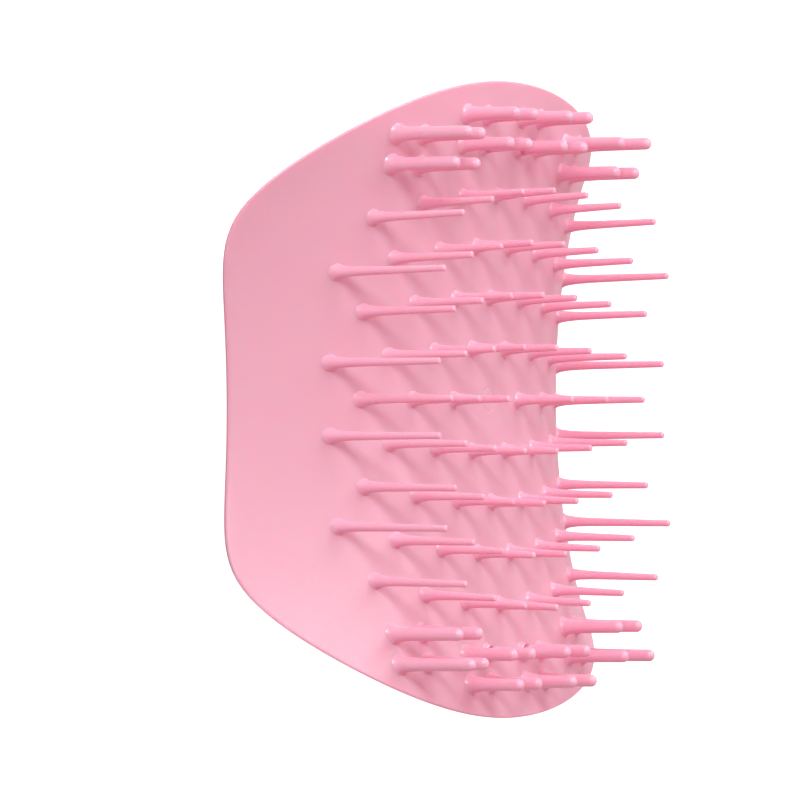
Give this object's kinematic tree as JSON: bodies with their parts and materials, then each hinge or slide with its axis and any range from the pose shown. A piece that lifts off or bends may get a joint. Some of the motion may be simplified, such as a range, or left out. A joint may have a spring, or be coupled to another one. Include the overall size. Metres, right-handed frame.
{
  "type": "scalp massager brush",
  "caption": "Palm-held scalp brush: saddle-shaped toothed front with finger wings, thin exfoliating teeth, thick rounded massage teeth at both ends and a domed palm cover.",
  "frame": {"origin": "on the resting flat of the palm cover, under the middle of the toothed face", "axes": "+Z along the teeth, away from the palm; +Y along the brush towards one toothed end; +X across the finger wings"},
  "size_m": [0.093, 0.09, 0.0394],
  "materials": {
    "front_shell": "satin pale pink moulded elastomer",
    "back_cover": "satin pink moulded plastic",
    "exfoliating_teeth": "satin slightly translucent pink elastomer",
    "massage_teeth": "satin slightly translucent pink elastomer"
  },
  "bodies": {
    "root": {"front_shell": "front_shell", "back_cover": "back_cover", "exfoliating_teeth_row_1": "exfoliating_teeth", "exfoliating_teeth_row_2": "exfoliating_teeth", "exfoliating_teeth_row_3": "exfoliating_teeth", "exfoliating_teeth_row_4": "exfoliating_teeth", "exfoliating_teeth_row_5": "exfoliating_teeth", "exfoliating_teeth_row_6": "exfoliating_teeth", "exfoliating_teeth_row_7": "exfoliating_teeth", "exfoliating_teeth_row_8": "exfoliating_teeth", "exfoliating_teeth_row_9": "exfoliating_teeth", "massage_teeth_row_1": "massage_teeth", "massage_teeth_row_2": "massage_teeth", "massage_teeth_row_3": "massage_teeth", "massage_teeth_row_4": "massage_teeth", "massage_teeth_row_5": "massage_teeth", "massage_teeth_row_6": "massage_teeth"}
  },
  "joints": []
}
